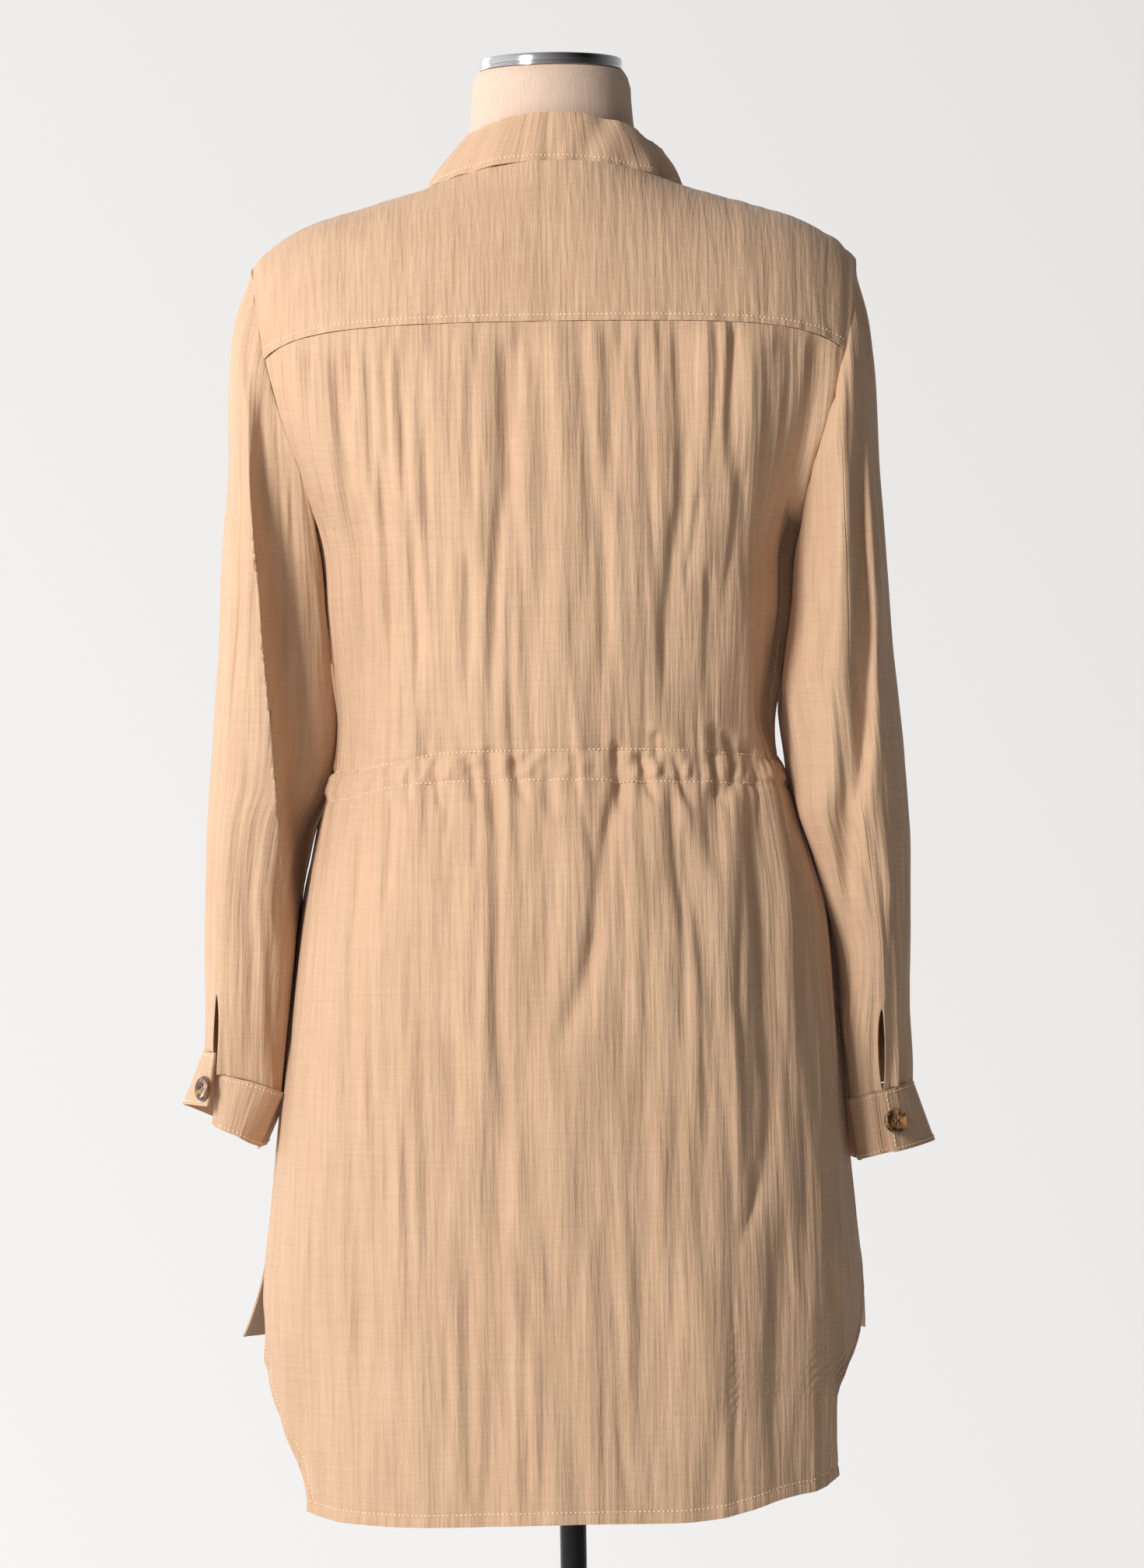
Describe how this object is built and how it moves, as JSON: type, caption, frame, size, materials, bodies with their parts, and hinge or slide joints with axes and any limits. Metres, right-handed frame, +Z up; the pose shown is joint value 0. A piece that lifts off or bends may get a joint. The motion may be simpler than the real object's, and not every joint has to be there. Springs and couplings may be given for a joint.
{
  "type": "tunic top on a limbless dress form and stand",
  "caption": "Long shirt-style tunic top with band collar, yoke, gathered waist and long cuffed sleeves, worn by a limbless dress form on a round stand.",
  "frame": {"origin": "centre of the base plate's underside, on the floor under the pole", "axes": "+Z up along the pole; the wearer faces -Y, so the back of the tunic faces +Y; +X is the wearer's left"},
  "size_m": [0.4789, 0.36, 1.498],
  "materials": {
    "tan_cloth": "matt crinkled plain weave",
    "form_jersey": "fine matt jersey",
    "horn_button": "polished, mottled like horn",
    "chrome": "polished",
    "black_steel": "satin black powder coat"
  },
  "bodies": {
    "root": {"back": "tan_cloth", "yoke": "tan_cloth", "front": "tan_cloth", "placket_left": "tan_cloth", "placket_right": "tan_cloth", "collar": "tan_cloth", "sleeve_left": "tan_cloth", "sleeve_right": "tan_cloth", "cuff_left": "tan_cloth", "cuff_right": "tan_cloth", "cuff_button_left": "horn_button", "cuff_button_right": "horn_button", "form_torso": "form_jersey", "neck_cap": "chrome", "form_socket": "black_steel", "stand_pole": "black_steel", "stand_hub": "black_steel", "stand_base": "black_steel"}
  },
  "joints": []
}
